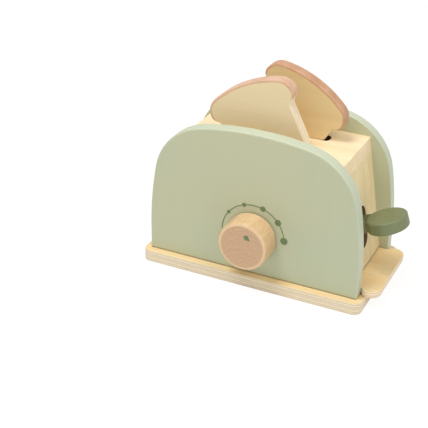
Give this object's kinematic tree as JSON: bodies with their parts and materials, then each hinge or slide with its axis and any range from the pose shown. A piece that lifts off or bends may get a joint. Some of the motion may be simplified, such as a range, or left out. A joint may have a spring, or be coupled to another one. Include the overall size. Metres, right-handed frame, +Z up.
{
  "type": "toy toaster",
  "caption": "Wooden play toaster: arched side panels on a flat base, slotted top with loose bread slices, press-down side lever, turning knob and a slide-out crumb tray.",
  "frame": {"origin": "middle of the base board's underside", "axes": "+X along the toaster towards the lever, -Y towards the knob, +Z up"},
  "size_m": [0.2219, 0.1228, 0.1795],
  "materials": {
    "green_paint": "satin green paint over plywood, fine grain showing through",
    "ply_board": "clear satin, plies showing on the cut edges",
    "birch_board": "clear satin, fine pale grain",
    "birch_wall": "clear satin, upright tan grain",
    "lever_paint": "satin olive green paint",
    "beech_knob": "clear satin turned beech",
    "bread_wood": "clear matte, domed edge stained pinkish brown",
    "bread_wood_dark": "clear matte, domed edge stained darker brown",
    "inner_wood": "plain matte wood",
    "beech_dowel": "plain matte wood",
    "dial_ink": "matte green printing ink",
    "screw_steel": "zinc-plated steel",
    "spring_steel": "bright spring wire",
    "washer_nylon": "white nylon"
  },
  "bodies": {
    "housing": {"base_plate": "ply_board", "front_panel": "green_paint", "rear_panel": "green_paint", "top_board": "birch_board", "left_end_wall": "birch_wall", "right_end_wall": "birch_wall", "guide_rod_left": "beech_dowel", "guide_rod_right": "beech_dowel", "guide_rail_left": "inner_wood", "guide_rail_right": "inner_wood", "lift_spring_left": "spring_steel", "lift_spring_right": "spring_steel", "dial_print": "dial_ink", "base_screws": "screw_steel", "board_dowels": "beech_dowel", "wall_dowels": "beech_dowel", "rail_dowels": "beech_dowel"},
    "knob_set": {"knob": "beech_knob", "knob_axle": "beech_dowel", "knob_washer": "washer_nylon", "knob_collar": "beech_dowel", "collar_screw": "screw_steel", "knob_mark": "dial_ink"},
    "lift_set": {"bread_lift": "inner_wood", "lever_post": "inner_wood", "post_screws": "screw_steel", "lever_arm": "lever_paint", "arm_peg": "beech_dowel", "lever_paddle": "lever_paint"},
    "tray": {"crumb_tray": "ply_board"},
    "slice_front": {"bread_slice_front": "bread_wood"},
    "slice_rear": {"bread_slice_rear": "bread_wood_dark"}
  },
  "joints": [
    {"name": "knob_turn", "type": "hinge", "parent": "housing", "child": "knob_set", "pos_m": [0.0019, -0.0475, 0.0476], "axis": [0, -1, 0], "continuous": true},
    {"name": "lever_press", "type": "slide", "parent": "housing", "child": "lift_set", "axis": [0, 0, -1], "range_m": [0, 0.0085], "stiffness_N_per_m": 150, "springref_m": -0.02, "deforming": ["lift_spring_left", "lift_spring_right"]},
    {"name": "tray_slide", "type": "slide", "parent": "housing", "child": "tray", "axis": [1, 0, 0], "range_m": [0, 0.15]},
    {"name": "front_slice_lift", "type": "slide", "parent": "housing", "child": "slice_front", "axis": [-0.4462, 0, 0.8949], "range_m": [0, 0.04]},
    {"name": "rear_slice_lift", "type": "slide", "parent": "housing", "child": "slice_rear", "axis": [0.4848, 0, 0.8746], "range_m": [0, 0.04]}
  ]
}
